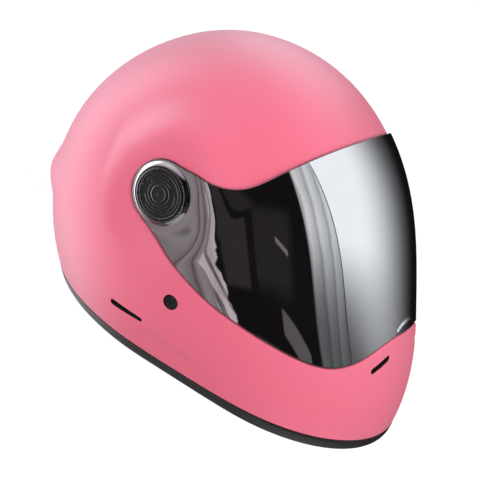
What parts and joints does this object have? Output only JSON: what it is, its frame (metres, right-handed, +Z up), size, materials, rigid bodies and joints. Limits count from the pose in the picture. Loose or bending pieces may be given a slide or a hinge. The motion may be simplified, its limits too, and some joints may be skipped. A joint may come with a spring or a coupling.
{
  "type": "downhill helmet",
  "caption": "Full-face downhill helmet with a deep chin bar and a wide mirrored visor that swings up on two ringed side hinges, standing on its rubber base trim.",
  "frame": {"origin": "middle of the box at floor height, on the flat underside of the base trim", "axes": "+Z up, -Y the way the wearer looks, +X the wearer's left; the visor turns on an axis along X"},
  "size_m": [0.2528, 0.3186, 0.2209],
  "materials": {
    "pink_shell": "matt",
    "black_rubber": "satin",
    "liner_foam": "matt",
    "comfort_cloth": "matt",
    "mirror_lens": "gloss",
    "chrome_trim": "gloss",
    "hinge_plastic": "satin",
    "knob_plastic": "satin",
    "strap_steel": "satin",
    "webbing": "matt"
  },
  "bodies": {
    "helmet": {"outer_shell": "pink_shell", "base_trim": "black_rubber", "eye_port_gasket": "black_rubber", "crown_liner": "liner_foam", "ring_liner": "liner_foam", "chin_liner": "liner_foam", "crown_pad": "comfort_cloth", "brow_pad": "comfort_cloth", "neck_roll": "comfort_cloth", "cheek_pad_left": "comfort_cloth", "cheek_pad_right": "comfort_cloth", "hinge_base_left": "hinge_plastic", "hinge_base_right": "hinge_plastic", "hinge_screws": "strap_steel", "strap_rivets": "hinge_plastic", "strap_hangers": "strap_steel", "strap_long": "webbing", "strap_short": "webbing", "strap_pad": "comfort_cloth", "d_rings": "strap_steel", "chin_grilles": "hinge_plastic", "side_grilles": "hinge_plastic"},
    "visor": {"visor_lens": "mirror_lens", "visor_bezel_left": "chrome_trim", "visor_bezel_right": "chrome_trim"},
    "knob_left": {"knob_left": "knob_plastic"},
    "knob_right": {"knob_right": "knob_plastic"}
  },
  "joints": [
    {"name": "visor_hinge", "type": "hinge", "parent": "helmet", "child": "visor", "pos_m": [0, 0.03085, 0.1225], "axis": [-1, 0, 0], "range_deg": [0, 62]},
    {"name": "knob_left_turn", "type": "hinge", "parent": "helmet", "child": "knob_left", "pos_m": [0, 0.03085, 0.1225], "axis": [1, 0, 0], "range_deg": [0, 90]},
    {"name": "knob_right_turn", "type": "hinge", "parent": "helmet", "child": "knob_right", "pos_m": [0, 0.03085, 0.1225], "axis": [-1, 0, 0], "range_deg": [0, 90]}
  ]
}
